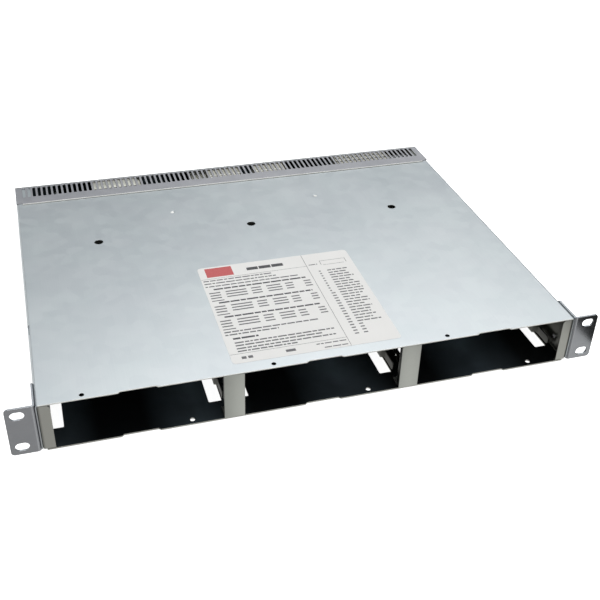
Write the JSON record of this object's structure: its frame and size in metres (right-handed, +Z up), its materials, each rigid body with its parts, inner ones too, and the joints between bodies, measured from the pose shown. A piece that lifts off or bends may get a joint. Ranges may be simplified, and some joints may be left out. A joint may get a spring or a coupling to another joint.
{
  "type": "rack power shelf",
  "caption": "Flat 1U rack shelf of folded galvanised sheet with open front bays for plug-in power modules and a vented rear connection compartment.",
  "frame": {"origin": "bottom centre of the box round the whole shelf: midway across its width, midway between the ears' front faces and the rear ends of the output bars, at the underside of its floor", "axes": "+X to the right as seen from the front, +Y to the rear, where the connections are, +Z up towards the cover"},
  "size_m": [0.4826, 0.3714, 0.0444],
  "materials": {
    "galvanised_steel": "galvanised, satin with faint spangle",
    "plated_steel": "zinc plated, satin",
    "nickel_plate": "nickel plated, satin",
    "black_film": "smooth black film",
    "black_plastic": "moulded, matt",
    "pale_plastic": "moulded, satin",
    "circuit_board": "dark solder mask",
    "tinned_copper": "tin plated copper",
    "tinned_steel": "bright tin plate"
  },
  "bodies": {
    "root": {"chassis_tray": "galvanised_steel", "guide_tabs": "galvanised_steel", "top_cover": "galvanised_steel", "rear_panel": "plated_steel", "left_post": "plated_steel", "right_post": "plated_steel", "left_guide": "galvanised_steel", "right_guide": "galvanised_steel", "left_ear": "nickel_plate", "right_ear": "nickel_plate", "ear_screws": "nickel_plate", "cover_screws": "nickel_plate", "rear_panel_screws": "nickel_plate", "floor_liner": "black_film", "rear_insulator": "black_film", "connection_board": "circuit_board", "board_standoffs": "nickel_plate", "board_screws": "nickel_plate", "left_connector": "black_plastic", "middle_connector": "black_plastic", "right_connector": "black_plastic", "left_contacts": "tinned_copper", "middle_contacts": "tinned_copper", "right_contacts": "tinned_copper", "negative_bar": "tinned_copper", "positive_bar": "tinned_copper", "bar_feet": "tinned_copper", "bar_screws": "nickel_plate", "negative_collar": "black_plastic", "positive_collar": "black_plastic", "terminal_block": "pale_plastic", "terminal_screws": "nickel_plate", "terminal_bracket": "galvanised_steel", "signal_shield": "tinned_steel", "signal_insert": "black_plastic", "jack_screws": "nickel_plate", "data_jack": "tinned_steel", "data_insert": "black_plastic", "earth_stud": "nickel_plate", "earth_nut": "nickel_plate"}
  },
  "joints": []
}
